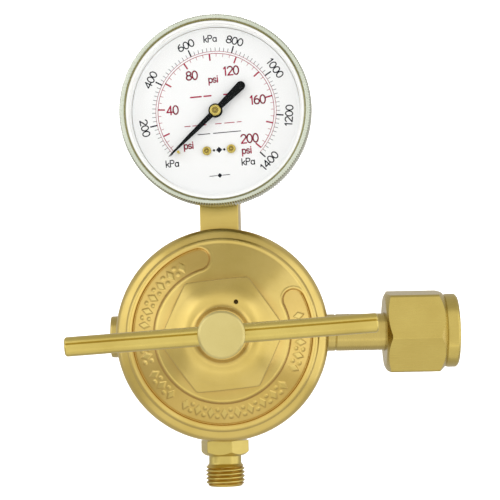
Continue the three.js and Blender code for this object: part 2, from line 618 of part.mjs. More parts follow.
function buildHairspring() {
  const turns = 3;
  const perTurn = 12;
  const inner = [];
  const outer = [];
  for (let i = 0; i <= turns * perTurn; i += 1) {
    const a = 2 * Math.PI * i / perTurn;
    const r = 1.3 + 3 * i / (turns * perTurn);
    outer.push([(r + 0.12) * Math.cos(a), (r + 0.12) * Math.sin(a)]);
    inner.push([(r - 0.12) * Math.cos(a), (r - 0.12) * Math.sin(a)]);
  }
  const ribbon = polygonShape([...outer, ...inner.reverse()]);
  inGauge("hairspring", plateAlongY(ribbon, -2.7, -1.9), "spring_steel");
}

buildBody();
buildBonnet();
buildScrew();
buildBar();
buildButton();
buildMainSpring();
buildDiaphragm();
buildValve();
buildInlet();
buildNut();
buildOutlet();
buildPlug();
buildSocket();
buildCase();
buildBezel();
buildDial();
buildPointer();
buildPinion();
buildSector();
buildLink();
buildTube();
buildPlates();
buildHairspring();

export default regulator;
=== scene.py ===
"""Looks of a brass gas regulator with one dial gauge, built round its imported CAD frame.

Sizes below are in millimetres, measured from the screw axis (X, Y, Z = 0 where it meets the port axes);
put() turns them into metres in the frame's own coordinates.
"""

import json
import math

import bmesh
import bpy
import numpy as np
from mathutils import Matrix, Vector


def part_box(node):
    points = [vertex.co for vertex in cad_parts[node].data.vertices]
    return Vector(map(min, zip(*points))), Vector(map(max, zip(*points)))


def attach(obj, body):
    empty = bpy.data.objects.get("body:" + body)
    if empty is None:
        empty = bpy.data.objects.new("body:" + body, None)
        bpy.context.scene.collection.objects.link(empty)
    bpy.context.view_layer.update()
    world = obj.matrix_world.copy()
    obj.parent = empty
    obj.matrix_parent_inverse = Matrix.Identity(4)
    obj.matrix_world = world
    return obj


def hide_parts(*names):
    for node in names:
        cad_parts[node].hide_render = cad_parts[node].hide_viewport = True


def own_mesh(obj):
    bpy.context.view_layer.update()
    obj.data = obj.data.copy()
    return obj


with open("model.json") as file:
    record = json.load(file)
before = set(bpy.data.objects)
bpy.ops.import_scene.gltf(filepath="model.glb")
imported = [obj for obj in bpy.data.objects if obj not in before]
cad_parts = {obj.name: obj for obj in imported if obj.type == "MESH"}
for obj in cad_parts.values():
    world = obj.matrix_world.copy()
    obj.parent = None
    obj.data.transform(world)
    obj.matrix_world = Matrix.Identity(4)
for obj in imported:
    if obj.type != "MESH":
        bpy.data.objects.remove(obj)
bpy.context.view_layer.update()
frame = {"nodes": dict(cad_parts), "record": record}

MM = 0.001
BONNET_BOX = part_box("bonnet")
AXIS_X = (BONNET_BOX[0].x + BONNET_BOX[1].x) / 2 / MM
BEZEL_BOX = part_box("gauge_bezel")
GAUGE_Z = (BEZEL_BOX[0].z + BEZEL_BOX[1].z) / 2 / MM
GAUGE_YAW = math.radians(-4.5)  # the gauge is screwed home a little short of facing straight ahead
DIAL_TURN = math.radians(3.6)  # the dial is fitted slightly turned in its case
TAU = 2 * math.pi


# ---------------------------------------------------------------- mesh building
def put(x, y, z):
    """A point in millimetres from the screw axis, in the frame's metres."""
    return Vector(((x + AXIS_X) * MM, y * MM, z * MM))


def finish_mesh(name, mesh, material, sharp=32):
    """Welds, turns the faces outwards, shades smooth with sharp edges, and makes the object."""
    work = bmesh.new()
    work.from_mesh(mesh)
    bmesh.ops.remove_doubles(work, verts=work.verts, dist=2e-6)
    bmesh.ops.dissolve_degenerate(work, dist=1e-7, edges=work.edges)
    bmesh.ops.recalc_face_normals(work, faces=work.faces)
    work.to_mesh(mesh)
    work.free()
    mesh.polygons.foreach_set("use_smooth", [True] * len(mesh.polygons))
    mesh.set_sharp_from_angle(angle=math.radians(sharp))
    mesh.materials.append(material)
    obj = bpy.data.objects.new(name, mesh)
    bpy.context.scene.collection.objects.link(obj)
    return obj


def raw_mesh(name, points, faces):
    mesh = bpy.data.meshes.new(name)
    mesh.from_pydata([tuple(p) for p in points], [], [tuple(f) for f in faces])
    return mesh


def sweep(name, radius, along, axis, centre, material, closed=False, sharp=32, tone=None):
    """A skin round an axis. radius and along are (rows, columns) arrays in millimetres.

    axis is X, Y or Z; centre is the axis's place across it. closed joins the last row to the first.
    The painted shade, an array of the same shape, is kept on the mesh for its material to read.
    """
    rows, columns = radius.shape
    theta = TAU * np.arange(columns) / columns
    across = (radius * np.cos(theta), radius * np.sin(theta))
    cx, cz = centre
    if axis == "Y":
        xyz = (across[0] + cx, along, across[1] + cz)
    elif axis == "X":
        xyz = (along, across[0] + cx, across[1] + cz)
    else:
        xyz = (across[0] + cx, across[1] + cz, along)
    points = np.stack(xyz, -1).reshape(-1, 3)
    points[:, 0] += AXIS_X
    points *= MM
    top = rows if closed else rows - 1
    i, j = np.meshgrid(np.arange(top), np.arange(columns), indexing="ij")
    a = i * columns + j
    b = i * columns + (j + 1) % columns
    c = ((i + 1) % rows) * columns + (j + 1) % columns
    d = ((i + 1) % rows) * columns + j
    faces = np.stack((a, b, c, d), -1).reshape(-1, 4)
    mesh = bpy.data.meshes.new(name)
    mesh.vertices.add(len(points))
    mesh.vertices.foreach_set("co", points.ravel())
    mesh.loops.add(faces.size)
    mesh.loops.foreach_set("vertex_index", faces.ravel())
    mesh.polygons.add(len(faces))
    mesh.polygons.foreach_set("loop_start", np.arange(0, faces.size, 4))
    mesh.update(calc_edges=True)
    if tone is not None:
        layer = mesh.attributes.new("tone", "FLOAT", "POINT")
        layer.data.foreach_set("value", np.asarray(tone, np.float32).ravel())
    return finish_mesh(name, mesh, material, sharp)


def soften(corners, closed=False, steps=4):
    """A (radius, along, rounding) outline with its corners rounded, as an array of points."""
    outline = []
    count = len(corners)
    for k, (r, a, rounding) in enumerate(corners):
        here = np.array((r, a), float)
        if rounding <= 0 or (not closed and k in (0, count - 1)):
            outline.append(here)
            continue
        before = np.array(corners[k - 1][:2], float) - here
        after = np.array(corners[(k + 1) % count][:2], float) - here
        reach = min(rounding, 0.48 * np.hypot(*before), 0.48 * np.hypot(*after))
        start = here + before / np.hypot(*before) * reach
        end = here + after / np.hypot(*after) * reach
        for t in np.linspace(0, 1, steps + 1):
            outline.append((1 - t) ** 2 * start + 2 * t * (1 - t) * here + t * t * end)
    return np.array(outline)


def turned(name, corners, axis, centre, material, columns=96, closed=False, dark=(0, 0)):
    """A plain turned piece from a (radius, along, rounding) outline; dark: radii with painted shade."""
    outline = soften(corners, closed)
    radius = np.repeat(outline[:, :1], columns, 1)
    along = np.repeat(outline[:, 1:], columns, 1)
    # Painted shade: the dark range of radii is darkened where a groove or recess sits.
    tone = 0.7 * ((radius > dark[0]) & (radius < dark[1]))
    return sweep(name, radius, along, axis, centre, material, closed, tone=tone)


def hex_radius(theta, flats, corner_angle, cap):
    """Distance to a hexagon's side at each angle, with its corners trimmed to a circle."""
    off = (theta - corner_angle) % (math.pi / 3) - math.pi / 6
    return np.minimum(flats / 2 / np.cos(off), cap)


def grown_box(name, size, centre, bevel, material):
    """A box with rounded edges."""
    work = bmesh.new()
    bmesh.ops.create_cube(work, size=1)
    bmesh.ops.scale(work, vec=Vector(size) * MM, verts=work.verts)
    bmesh.ops.bevel(work, geom=work.edges, offset=bevel * MM, segments=3, affect="EDGES", profile=0.5)
    bmesh.ops.translate(work, vec=put(*centre), verts=work.verts)
    mesh = bpy.data.meshes.new(name)
    work.to_mesh(mesh)
    work.free()
    return finish_mesh(name, mesh, material, 25)


def claim(obj, body, slot, *nodes):
    """What a made piece rides on, its material slot (not used) and the CAD nodes that it stands for."""
    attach(obj, body)
    if nodes:
        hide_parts(*nodes)


def claim_gauge(obj, body, slot, *nodes):
    """A gauge piece is made facing straight ahead, so it is turned about the stem before it is claimed."""
    stem = put(0, 0, 0)
    turn = Matrix.Rotation(GAUGE_YAW, 4, "Z")
    obj.data.transform(Matrix.Translation(stem) @ turn @ Matrix.Translation(-stem))
    claim(obj, body, slot, *nodes)


# ---------------------------------------------------------------- materials
class Nodes:
    """Short calls for building a node tree."""

    def __init__(self, name):
        self.material = bpy.data.materials.new(name)
        self.material.use_nodes = True
        self.tree = self.material.node_tree
        self.shader = self.tree.nodes["Principled BSDF"]

    def add(self, kind, **values):
        node = self.tree.nodes.new(kind)
        for key, value in values.items():
            if key in node.inputs:
                node.inputs[key].default_value = value
            else:
                setattr(node, key, value)
        return node

    def link(self, source, target):
        self.tree.links.new(source, target)

    def coords(self, scale=(1, 1, 1)):
        where = self.add("ShaderNodeTexCoord")
        mapping = self.add("ShaderNodeMapping")
        mapping.inputs["Scale"].default_value = scale
        self.link(where.outputs["Object"], mapping.inputs["Vector"])
        return mapping.outputs["Vector"]

    def noise(self, vector, scale, detail):
        node = self.add("ShaderNodeTexNoise", Scale=scale, Detail=detail, Roughness=0.55)
        self.link(vector, node.inputs["Vector"])
        return node.outputs["Fac"]

    def spread(self, value, low, high):
        node = self.add("ShaderNodeMapRange")
        node.inputs["From Min"].default_value = 0.3
        node.inputs["From Max"].default_value = 0.7
        node.inputs["To Min"].default_value = low
        node.inputs["To Max"].default_value = high
        self.link(value, node.inputs["Value"])
        return node.outputs["Result"]

    def mix(self, factor, first, second):
        node = self.add("ShaderNodeMix", data_type="RGBA")
        for source, target in ((factor, 0), (first, 6), (second, 7)):
            if isinstance(source, (tuple, list)):
                node.inputs[target].default_value = (*source, 1)
            elif isinstance(source, float):
                node.inputs[target].default_value = source
            else:
                self.link(source, node.inputs[target])
        return node.outputs[2]

    def bump(self, height, strength, distance, before=None):
        node = self.add("ShaderNodeBump", Strength=strength, Distance=distance)
        self.link(height, node.inputs["Height"])
        if before is not None:
            self.link(before, node.inputs["Normal"])
        return node.outputs["Normal"]


def cast_brass(name, light, dark, roughness=(0.28, 0.38), tone=False):
    """Forged brass, bright-dipped: soft grain, faint clouding, warmer painted shade in recesses."""
    n = Nodes(name)
    where = n.coords()
    cloud = n.noise(where, 55, 5)
    colour = n.mix(n.spread(cloud, 0.0, 1.0), light, dark)
    if tone:
        shade_mask = n.add("ShaderNodeAttribute", attribute_name="tone")
        colour = n.mix(shade_mask.outputs["Fac"], colour, RECESS_SHADE)
    n.link(colour, n.shader.inputs["Base Color"])
    n.shader.inputs["Metallic"].default_value = 1
    n.shader.inputs["Coat Weight"].default_value = 0.25
    n.shader.inputs["Coat Roughness"].default_value = 0.12
    fine = n.noise(where, 900, 3)
    n.link(n.spread(n.noise(where, 120, 4), *roughness), n.shader.inputs["Roughness"])
    soft = n.bump(n.noise(where, 110, 2), 0.2, 0.00014)
    n.link(n.bump(fine, 0.2, 0.000012, soft), n.shader.inputs["Normal"])
    return n.material


def turned_brass(name, light, dark, roughness=(0.2, 0.32), stretch=(1, 1, 1), depth=0.000006, shade_colour=None):
    """Machined metal: fine tool lines that run along the axes where stretch is small, and clouding.

    The shade colour is painted shade, laid on where the mesh's own painted-shade values are high.
    """
    n = Nodes(name)
    cloud = n.noise(n.coords(), 70, 4)
    colour = n.mix(n.spread(cloud, 0.0, 1.0), light, dark)
    if shade_colour:
        shade_mask = n.add("ShaderNodeAttribute", attribute_name="tone")
        colour = n.mix(shade_mask.outputs["Fac"], colour, shade_colour)
    n.link(colour, n.shader.inputs["Base Color"])
    n.shader.inputs["Metallic"].default_value = 1
    n.shader.inputs["Coat Weight"].default_value = 0.2
    n.shader.inputs["Coat Roughness"].default_value = 0.15
    marks = n.noise(n.coords(stretch), 2200, 2)
    n.link(n.spread(marks, *roughness), n.shader.inputs["Roughness"])
    n.link(n.bump(marks, 0.3, depth), n.shader.inputs["Normal"])
    return n.material


def plain_steel(name, light, dark, roughness=(0.25, 0.4)):
    n = Nodes(name)
    cloud = n.noise(n.coords(), 90, 4)
    n.link(n.mix(n.spread(cloud, 0.0, 1.0), light, dark), n.shader.inputs["Base Color"])
    n.shader.inputs["Metallic"].default_value = 1
    n.link(n.spread(cloud, *roughness), n.shader.inputs["Roughness"])
    n.link(n.bump(n.noise(n.coords(), 1500, 2), 0.3, 0.00001), n.shader.inputs["Normal"])
    return n.material


def coated(name, light, dark, roughness=(0.4, 0.55), texture=0.00001, scale=800, specular=0.5):
    """Paint, print, rubber or plastic: two close tones and a fine surface texture."""
    n = Nodes(name)
    where = n.coords()
    n.link(n.mix(n.spread(n.noise(where, 60, 3), 0.0, 1.0), light, dark), n.shader.inputs["Base Color"])
    fine = n.noise(where, scale, 3)
    n.link(n.spread(fine, *roughness), n.shader.inputs["Roughness"])
    n.link(n.bump(fine, 0.3, texture), n.shader.inputs["Normal"])
    n.shader.inputs["Specular IOR Level"].default_value = specular
    return n.material


def clear_lens(name):
    """A clear pane that the dial is seen through: almost no body colour, and a faint gloss."""
    n = Nodes(name)
    smudge = n.noise(n.coords(), 40, 3)
    n.link(n.mix(n.spread(smudge, 0.0, 1.0), (0.05, 0.055, 0.055), (0.06, 0.065, 0.065)),
           n.shader.inputs["Base Color"])
    n.link(n.spread(smudge, 0.02, 0.06), n.shader.inputs["Roughness"])
    n.shader.inputs["Alpha"].default_value = 0.03
    n.shader.inputs["IOR"].default_value = 1.45
    return n.material


BRASS_LIGHT = (0.62, 0.475, 0.145)
BRASS_DARK = (0.54, 0.4, 0.1)
# Painted shade: the darker, warmer colour laid into the bonnet's recesses and round its hexagon and boss.
RECESS_SHADE = (0.5, 0.29, 0.06)
# How far the tool lines are drawn out in X, Y and Z: small is long.
ALONG_X, ALONG_Z, ROUND_X = (1, 0.04, 0.04), (0.04, 0.04, 1), (0.04, 1, 1)
# The shade colours of turned, nut, outlet and bezel are painted shade for grooves, recesses and thread
# valleys.
LOOKS = {
    "bonnet": cast_brass("bonnet_brass", BRASS_LIGHT, BRASS_DARK, tone=True),
    "cast": cast_brass("forged_brass", BRASS_LIGHT, BRASS_DARK),
    "turned": turned_brass("machined_brass", (0.63, 0.51, 0.13), (0.56, 0.44, 0.1),
                           shade_colour=(0.2, 0.14, 0.03)),
    "turned_x": turned_brass("lathe_turned_brass", (0.5, 0.39, 0.12), (0.45, 0.34, 0.095), (0.24, 0.34),
                             ALONG_X, 0.000004),
    "turned_z": turned_brass("upright_turned_brass", (0.58, 0.45, 0.13), (0.51, 0.38, 0.1), (0.28, 0.38),
                             ALONG_Z),
    "satin": turned_brass("satin_brass", (0.6, 0.51, 0.205), (0.54, 0.45, 0.165), (0.34, 0.44)),
    "nut": turned_brass("nut_brass", (0.5, 0.39, 0.105), (0.45, 0.34, 0.085), (0.24, 0.34), ROUND_X,
                        shade_colour=(0.3, 0.18, 0.04)),
    "outlet": turned_brass("outlet_brass", (0.54, 0.43, 0.12), (0.49, 0.38, 0.1), (0.3, 0.38), ALONG_Z,
                           shade_colour=(0.46, 0.29, 0.05)),
    "drawn": turned_brass("drawn_brass", (0.59, 0.47, 0.13), (0.52, 0.4, 0.1), (0.26, 0.36), ROUND_X),
    "bezel": turned_brass("bezel_plating", (0.6, 0.64, 0.545), (0.52, 0.56, 0.46), (0.24, 0.34),
                          shade_colour=(0.2, 0.19, 0.08)),
    "steel": plain_steel("drawn_steel", (0.56, 0.56, 0.55), (0.46, 0.46, 0.46)),
    "spring": plain_steel("spring_wire", (0.3, 0.3, 0.32), (0.22, 0.22, 0.24)),
    "black": coated("black_enamel", (0.003, 0.004, 0.004), (0.005, 0.006, 0.007), (0.5, 0.6), specular=0.05),
    "dial": coated("dial_enamel", (0.875, 0.89, 0.895), (0.885, 0.9, 0.905), (0.45, 0.55), 0.000004),
    "ink_black": coated("dial_ink_black", (0.006, 0.007, 0.014), (0.01, 0.011, 0.02), (0.6, 0.7),
                        specular=0.15),
    "ink_red": coated("dial_ink_red", (0.36, 0.018, 0.06), (0.41, 0.026, 0.07), (0.6, 0.7), specular=0.15),
    "shade": coated("hole_shade", (0.09, 0.06, 0.015), (0.1, 0.065, 0.02), (0.5, 0.6), specular=0.1),
    "rubber": coated("black_rubber", (0.018, 0.018, 0.019), (0.024, 0.024, 0.025), (0.6, 0.8), 0.00003),
    "plastic": coated("seat_plastic", (0.74, 0.7, 0.6), (0.78, 0.74, 0.65), (0.4, 0.55)),
    "gasket": coated("gasket_plastic", (0.9, 0.91, 0.9), (0.92, 0.93, 0.92), (0.35, 0.45)),
    "lens": clear_lens("gauge_lens"),
}
SLOT_LOOKS = {
    "cast_brass": "cast", "turned_brass": "turned", "plated_bezel": "bezel", "plain_steel": "steel",
    "spring_steel": "spring", "black_paint": "black", "dial_white": "dial", "lens_clear": "lens",
    "black_rubber": "rubber", "seat_plastic": "plastic",
}


def dress_cad_nodes():
    """Every CAD node starts with the finish of its slot; most visible ones are replaced later."""
    for part in frame["record"]["subparts"]:
        node = frame["nodes"][part["node"]]
        node.data.materials.clear()
        node.data.materials.append(LOOKS[SLOT_LOOKS[part["material_slot"]]])


# ---------------------------------------------------------------- bonnet
HEX_TURN, HEX_FLATS, HEX_CAP = math.radians(5.15), 38.1, 21.75
HEX_EDGE, HEX_STEP = 0.15, 0.35  # the hexagon's top edge, and how far it drops
DOME_IN, DOME_OUT, DOME_TOP = 11.2, 17.7, -49.3
DOME_RISE, DOME_POWER, CHAMFER_SLOPE = 0.235, 1.52, 0.86
PANEL_MID, PANEL_HALF = 28.2, 3.95
PANEL_START, PANEL_END = math.radians(106.6 - 360), math.radians(24.8)
PANEL_DEPTH, BEAD_HEIGHT = 0.9, 0.2
MARK_R, MARK_STEP, MARK_HEIGHT = 27.9, 5.0, 0.45
MARK_RUNS = ((120, 172), (186, 199), (209, 228), (241, 319), (334, 373))
VENT_R, VENT_ANGLE = 12.2, math.radians(66)
VENT_HOLE_R, VENT_DEPTH = 0.8, 2.2
CONE_IN, CONE_OUT, CONE_Y, CONE_SLOPE = 23.0, 32.6, -32.3, 0.885


def smooth(value):
    t = np.clip(value, 0, 1)
    return t * t * (3 - 2 * t)


def arc_distance(r, theta, middle, half, start, end):
    """Signed distance from a band of the given half width that follows an arc and has round ends."""
    centre = (start + end) / 2
    half_angle = (end - start) / 2
    off = (theta - centre + math.pi) % TAU - math.pi
    past = np.maximum(np.abs(off) - half_angle, 0)
    over = past * (r + middle) / 2
    return np.hypot(over, r - middle) - half


def relief(r, theta):
    """Raised plain marks inside the panel, in runs with gaps: lozenges and pairs of studs by turns."""
    height = np.zeros_like(r)
    out = r - MARK_R
    for start, finish in MARK_RUNS:
        count = round((finish - start) / MARK_STEP)
        for k in range(count + 1):
            position = math.radians(start + (finish - start) * k / count)
            off = ((theta - position + math.pi) % TAU - math.pi) * MARK_R
            if k % 2 == 0:
                shape = 1.5 - np.abs(off) * 1.25 - np.abs(out) * 0.72
            else:
                shape = 0.6 - np.hypot(off, np.abs(out) - 1.3)
            height = np.maximum(height, smooth(shape / 0.75 + 0.5))
    return height


def vent_sink(r, theta):
    """Depth of the small vent hole drilled through the dome."""
    away = np.sqrt(r * r + VENT_R ** 2 - 2 * r * VENT_R * np.cos(theta - VENT_ANGLE))
    return VENT_DEPTH * smooth((VENT_HOLE_R - away) / 0.3)


def bonnet_top(r):
    """Height of the domed face over the hexagon, and the steeper chamfer outside it."""
    dome = DOME_TOP + DOME_RISE * np.maximum(r - DOME_IN, 0) ** DOME_POWER
    edge = DOME_TOP + DOME_RISE * (DOME_OUT - DOME_IN) ** DOME_POWER
    chamfer = edge + (r - DOME_OUT) * CHAMFER_SLOPE
    return np.where(r < DOME_OUT, dome, chamfer)


def cone_surface(r):
    """Height of the cone between the hexagon and the rim."""
    return CONE_Y + (r - CONE_IN) * CONE_SLOPE


class BonnetRows:
    """The bonnet's skin, gathered row by row from the screw boss outwards and back inside."""

    def __init__(self, columns):
        self.theta = TAU * np.arange(columns) / columns
        self.ones = np.ones(columns)
        self.radius, self.along, self.tone = [], [], []

    # t is how much painted shade the row gets.
    def row(self, r, a, t=0.0):
        self.radius.append(r * self.ones)
        self.along.append(a * self.ones)
        self.tone.append(t * self.ones)

    def boss_and_dome(self):
        boss = soften([
            (6.6, -44, 0), (6.6, -55, 0.5), (8.5, -55, 0.5), (8.75, -52.6, 1.2), (9.6, -50.2, 1.4),
            (DOME_IN, DOME_TOP, 0),
        ], steps=5)
        # Painted shade: the boss is darkened towards the screw.
        for r, a in boss:
            self.row(r, a, 0.3 * smooth(np.array((11.4 - r) / 2.4)))
        for r in np.linspace(11.3, 17.4, 46):
            self.row(r, bonnet_top(np.array(r)) + vent_sink(r, self.theta))

    def hexagon(self):
        wall = hex_radius(self.theta, HEX_FLATS, HEX_TURN, HEX_CAP)
        brink = wall - HEX_EDGE
        for t in np.linspace(0, 1, 8):
            r = DOME_OUT + (brink - DOME_OUT) * t
            self.row(r, bonnet_top(r))
        for t in (0.35, 1):
            self.row(brink + HEX_EDGE * t, bonnet_top(brink) + HEX_STEP * t)
        foot_r = wall + 0.35
        top, foot = bonnet_top(brink) + HEX_STEP, cone_surface(foot_r)
        # Painted shade: the hexagon's wall darkens down to its foot, and the cone is darker next to it.
        for t in np.linspace(0.15, 0.93, 5):
            self.row(wall, top + (foot - top) * t, 0.3 * t)
        for t in np.linspace(0, 1, 6):
            r = foot_r + (CONE_IN - 0.2 - foot_r) * t
            self.row(r, cone_surface(r), 0.35 * (1 - t))

    def panel(self):
        """The cone, with the sunk panel, the bead round it and the raised marks in it."""
        for r in np.linspace(CONE_IN, CONE_OUT, 64):
            grid = np.full(len(self.theta), r)
            away = arc_distance(grid, self.theta, PANEL_MID, PANEL_HALF, PANEL_START, PANEL_END)
            sunk = smooth(0.5 - away / 0.6)
            bead = smooth(1 - np.abs(away - 0.75) / 0.55)
            marks = relief(grid, self.theta) * sunk
            # Painted shade: the sunk floor between the marks is darkened, and the panel's edge most of all.
            sink = PANEL_DEPTH * sunk - MARK_HEIGHT * marks - BEAD_HEIGHT * bead
            edge_shade = np.exp(-(away / 0.45) ** 2)
            self.row(grid, cone_surface(grid) + sink, np.maximum(0.25 * sunk * (1 - marks), 0.8 * edge_shade))

    def rim_and_inside(self):
        rim = soften([
            (33.0, -23.55, 0), (33.7, -23.4, 0.4), (34.35, -22.7, 0.4), (34.7, -21.9, 0.4),
            (37.1, -20.3, 1.2), (38.5, -17.9, 1.6), (38.5, -8, 0.5), (34.7, -8, 0.3), (34.7, -14.6, 0),
            (27.2, -14.6, 0), (27.2, -17, 0), (14.6, -36, 0), (14.6, -44, 0),
        ], steps=6)
        for r, a in rim:
            self.row(r, a)


def build_bonnet():
    rows = BonnetRows(960)
    rows.boss_and_dome()
    rows.hexagon()
    rows.panel()
    rows.rim_and_inside()
    bonnet = sweep("bonnet_shell", np.array(rows.radius), np.array(rows.along), "Y", (0, 0),
                   LOOKS["bonnet"], closed=True, sharp=40, tone=np.array(rows.tone))
    claim(bonnet, "regulator", "cast_brass", "bonnet")
    vent_place = (VENT_R * math.cos(VENT_ANGLE), VENT_R * math.sin(VENT_ANGLE))
    # Painted shade: a dark disc deep in the vent hole stands for the shade inside it.
    vent_shade = turned("bonnet_vent_shade", [(0, -47.6, 0), (0.85, -47.6, 0), (0.85, -47.3, 0), (0, -47.3, 0)],
                  "Y", vent_place, LOOKS["shade"], 24)
    claim(vent_shade, "regulator", "cast_brass")


# ---------------------------------------------------------------- threads
ROWS_PER_PITCH = 8
FLANK_SLOPE, ROOT_FLAT = 1.6, 0.15


def thread_rows(low, high, major, minor, pitch, columns, fade):
    """A V thread along an axis: radii and places of rows, and the crest fading at both ends."""
    theta = TAU * np.arange(columns) / columns
    rows = int((high - low) / pitch * ROWS_PER_PITCH)
    places = np.linspace(low, high, rows + 1)
    along = np.repeat(places[:, None], columns, 1)
    phase = (along / pitch - theta / TAU) % 1
    wave = np.clip(np.abs(phase - 0.5) * 2 * FLANK_SLOPE - ROOT_FLAT, 0, 1)
    radius = minor + (major - minor) * wave
    ends = np.minimum(along - low, high - along)
    radius = np.minimum(radius, minor + (major - minor) * 0.1 + ends / fade * (major - minor))
    # Painted shade: the last array darkens the thread down into its valleys.
    return radius, along, 0.9 * (major - radius) / (major - minor)


def upside_down(rows):
    """The same run of rows, taken from its other end."""
    return tuple(part[::-1] for part in rows)


def plain_rows(corners, columns):
    """The same outline at every angle, as rows without painted shade."""
    outline = soften(corners)
    return np.repeat(outline[:, :1], columns, 1), np.repeat(outline[:, 1:], columns, 1)


def stacked(name, parts, axis, centre, material, closed=False):
    """One skin made of several runs of rows; a thread's run also brings painted shade for its valleys."""
    radius = np.concatenate([p[0] for p in parts])
    along = np.concatenate([p[1] for p in parts])
    tone = np.concatenate([p[2] if len(p) > 2 else np.zeros_like(p[0]) for p in parts])
    return sweep(name, radius, along, axis, centre, material, closed, 38, tone)


# ---------------------------------------------------------------- adjusting screw and T-bar
BAR_TILT = math.radians(3.35)
BAR_R, BAR_HALF, BAR_Y = 3.2, 50.8, -78
GROOVE_ANGLE, GROOVE_HALF, GROOVE_DEPTH = math.radians(160), 0.55, 0.6


def build_screw():
    columns = 120
    head = plain_rows([
        (0, -85, 0), (6.9, -85, 0.25), (7.7, -84.2, 0.3), (7.7, -71.6, 0.3), (7.1, -71, 0.3), (6.5, -71, 0.3),
        (5.7, -70.2, 0.3),
    ], columns)
    thread = thread_rows(-69.6, -46.5, 6.3, 5.62, 1.27, columns, 1.2)
    tip = plain_rows([(5.6, -46.2, 0), (4.4, -44.6, 0.5), (0, -44.3, 0)], columns)
    screw = stacked("screw_with_head", [head, thread, tip], "Y", (0, 0), LOOKS["satin"])
    claim(screw, "handle", "turned_brass", "adjusting_screw")


def build_bar():
    """A drawn rod with a V groove along it, slightly above its middle."""
    columns = 180
    theta = TAU * np.arange(columns) / columns
    off = np.abs((theta - GROOVE_ANGLE + math.pi) % TAU - math.pi) * BAR_R
    depth = GROOVE_DEPTH * np.clip(1 - off / GROOVE_HALF, 0, 1)
    ends = soften([
        (0, -BAR_HALF, 0), (2.7, -BAR_HALF, 0.25), (BAR_R, -50.2, 0.25), (BAR_R, -30, 0), (BAR_R, -10, 0),
        (BAR_R, 10, 0), (BAR_R, 30, 0), (BAR_R, 50.2, 0.25), (2.7, BAR_HALF, 0.25), (0, BAR_HALF, 0),
    ])
    radius = np.array([np.where(r > 1, r - depth * (r > 2), r * np.ones(columns)) for r in ends[:, 0]])
    along = np.repeat(ends[:, 1:], columns, 1)
    bar = sweep("t_bar_rod", radius, along, "X", (0, 0), LOOKS["drawn"], sharp=38)
    bar.data.transform(Matrix.Translation(-put(0, 0, 0)))
    bar.data.transform(Matrix.Rotation(-BAR_TILT, 4, "Y"))
    bar.data.transform(Matrix.Translation(put(0, BAR_Y, 0)))
    claim(bar, "handle", "plain_steel", "t_bar")


# ---------------------------------------------------------------- inlet
def nut_rows(face, back, flats, turn, cap, columns, chamfers):
    """A hexagon's rows between two faces, with the slope of the chamfer at each end."""
    theta = TAU * np.arange(columns) / columns
    wall = hex_radius(theta, flats, turn, cap)
    ring = flats / 2 * 0.93
    radius, along = [], []
    for t in np.linspace(0, 1, 6):
        r = ring + (wall - ring) * t
        radius.append(r)
        along.append(face + (r - ring) * chamfers[0])
    for t in np.linspace(0, 1, 6):
        r = wall + (ring - wall) * t
        radius.append(r)
        along.append(back - (r - ring) * chamfers[1])
    return np.array(radius), np.array(along)


def build_nut():
    columns = 360
    lead = plain_rows([(7.15, 70.2, 0), (7.15, 60, 0.3), (11.5, 60, 0.2), (13.0, 60.05, 0)], columns)
    hexagon = nut_rows(60.1, 82.3, 28.6, math.radians(7.4), 16.2, columns, (0.577, 0.9))
    nose = plain_rows([
        (13.3, 82.35, 0.1), (13.45, 82.5, 0.1), (13.65, 83.4, 0.2), (13.65, 86.2, 0.3),
        (12.85, 87, 0.2), (11.6, 87, 0.2), (10.9, 86.2, 0),
    ], columns)
    inside = thread_rows(71.5, 86.0, 11.35, 10.72, 1.81, columns, 1.5)
    floor = plain_rows([(10.72, 71.2, 0), (10.72, 70.2, 0.2), (7.15, 70.2, 0)], columns)
    parts = [lead, hexagon, nose, upside_down(inside), floor]
    nut = stacked("inlet_swivel_nut", parts, "X", (0, 0), LOOKS["nut"], True)
    claim(nut, "inlet_nut", "turned_brass", "inlet_nut")


def build_nipple():
    nipple = turned("inlet_tube", [
        (0, 33, 0), (6.85, 33, 0), (6.85, 41.5, 0.15), (6.6, 41.7, 0.1), (6.6, 41.9, 0.1),
        (6.85, 42.1, 0.15), (6.85, 70.5, 0.3), (9.5, 70.5, 0.3), (9.5, 74, 0.3), (8.3, 74.4, 0.5),
        (7.8, 77, 1.5), (6.6, 80.4, 1.5), (4.4, 83.2, 1), (3.6, 84, 0.3), (2.7, 84, 0.2), (2.6, 82.6, 0),
        (2.6, 74, 0), (0, 74, 0),
    ], "X", (0, 0), LOOKS["turned_x"], 96)
    claim(nipple, "regulator", "turned_brass", "inlet_nipple")


# ---------------------------------------------------------------- outlet and plug
def build_outlet():
    columns = 240
    neck = plain_rows([(0, -33, 0), (6.6, -33, 0), (6.6, -38.8, 0.2), (7.2, -38.8, 0)], columns)
    hexagon = nut_rows(-44.35, -38.85, 15.9, math.radians(-14), 9.05, columns, (0.8, 0.1))
    under = plain_rows([
        (7.3, -44.4, 0.2), (6.1, -44.5, 0.3), (6.0, -44.9, 0.3), (6.0, -47.4, 0.3), (6.3, -47.8, 0.2),
    ], columns)
    thread = thread_rows(-55.3, -47.9, 7.15, 6.35, 1.411, columns, 0.9)
    end = plain_rows([
        (6.25, -55.5, 0.1), (6.0, -55.8, 0.1), (5.2, -55.8, 0.2), (3.65, -53.2, 0.3), (3.6, -40, 0),
        (0, -40, 0),
    ], columns)
    parts = [neck, upside_down(hexagon), under, upside_down(thread), end]
    outlet = stacked("outlet_connection", parts, "Z", (0, 0), LOOKS["outlet"])
    claim(outlet, "regulator", "turned_brass", "outlet_fitting")


